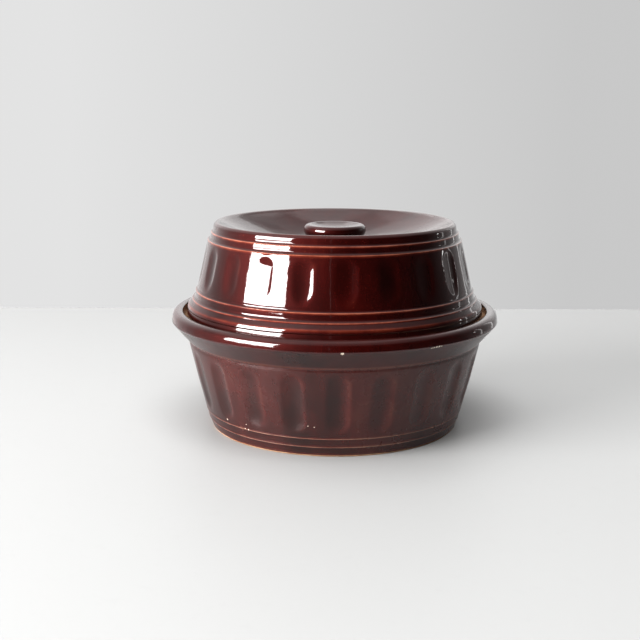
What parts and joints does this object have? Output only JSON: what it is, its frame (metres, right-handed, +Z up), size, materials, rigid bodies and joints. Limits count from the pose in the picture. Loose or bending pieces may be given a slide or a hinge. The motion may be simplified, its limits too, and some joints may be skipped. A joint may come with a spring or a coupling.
{
  "type": "butter crock",
  "caption": "Round covered butter crock with a fluted tapering bowl, a rolled rim, and a fluted domed lid whose dished top holds a button knob.",
  "frame": {"origin": "centre of the foot's underside, on the surface that the crock stands on", "axes": "+Z up along the axis that every piece is turned about; -Y is the front, where the first flute of the bowl lies 0.8 degrees towards +X"},
  "size_m": [0.2036, 0.2036, 0.1271],
  "materials": {
    "crock_glaze": "glossy dark red-brown glaze, softer on the wall, thin and orange on sharp edges, bare buff clay under the foot and on the lid seat",
    "lid_glaze": "high gloss dark red-brown glaze, thin and orange on the ring lines, bare buff clay on the rim it rests on",
    "knob_glaze": "high gloss dark red-brown glaze"
  },
  "bodies": {
    "crock": {"crock": "crock_glaze"},
    "lid": {"lid": "lid_glaze", "knob": "knob_glaze"}
  },
  "joints": [
    {"name": "lid_lift", "type": "slide", "parent": "crock", "child": "lid", "axis": [0, 0, 1], "range_m": [0, 0.1]}
  ]
}
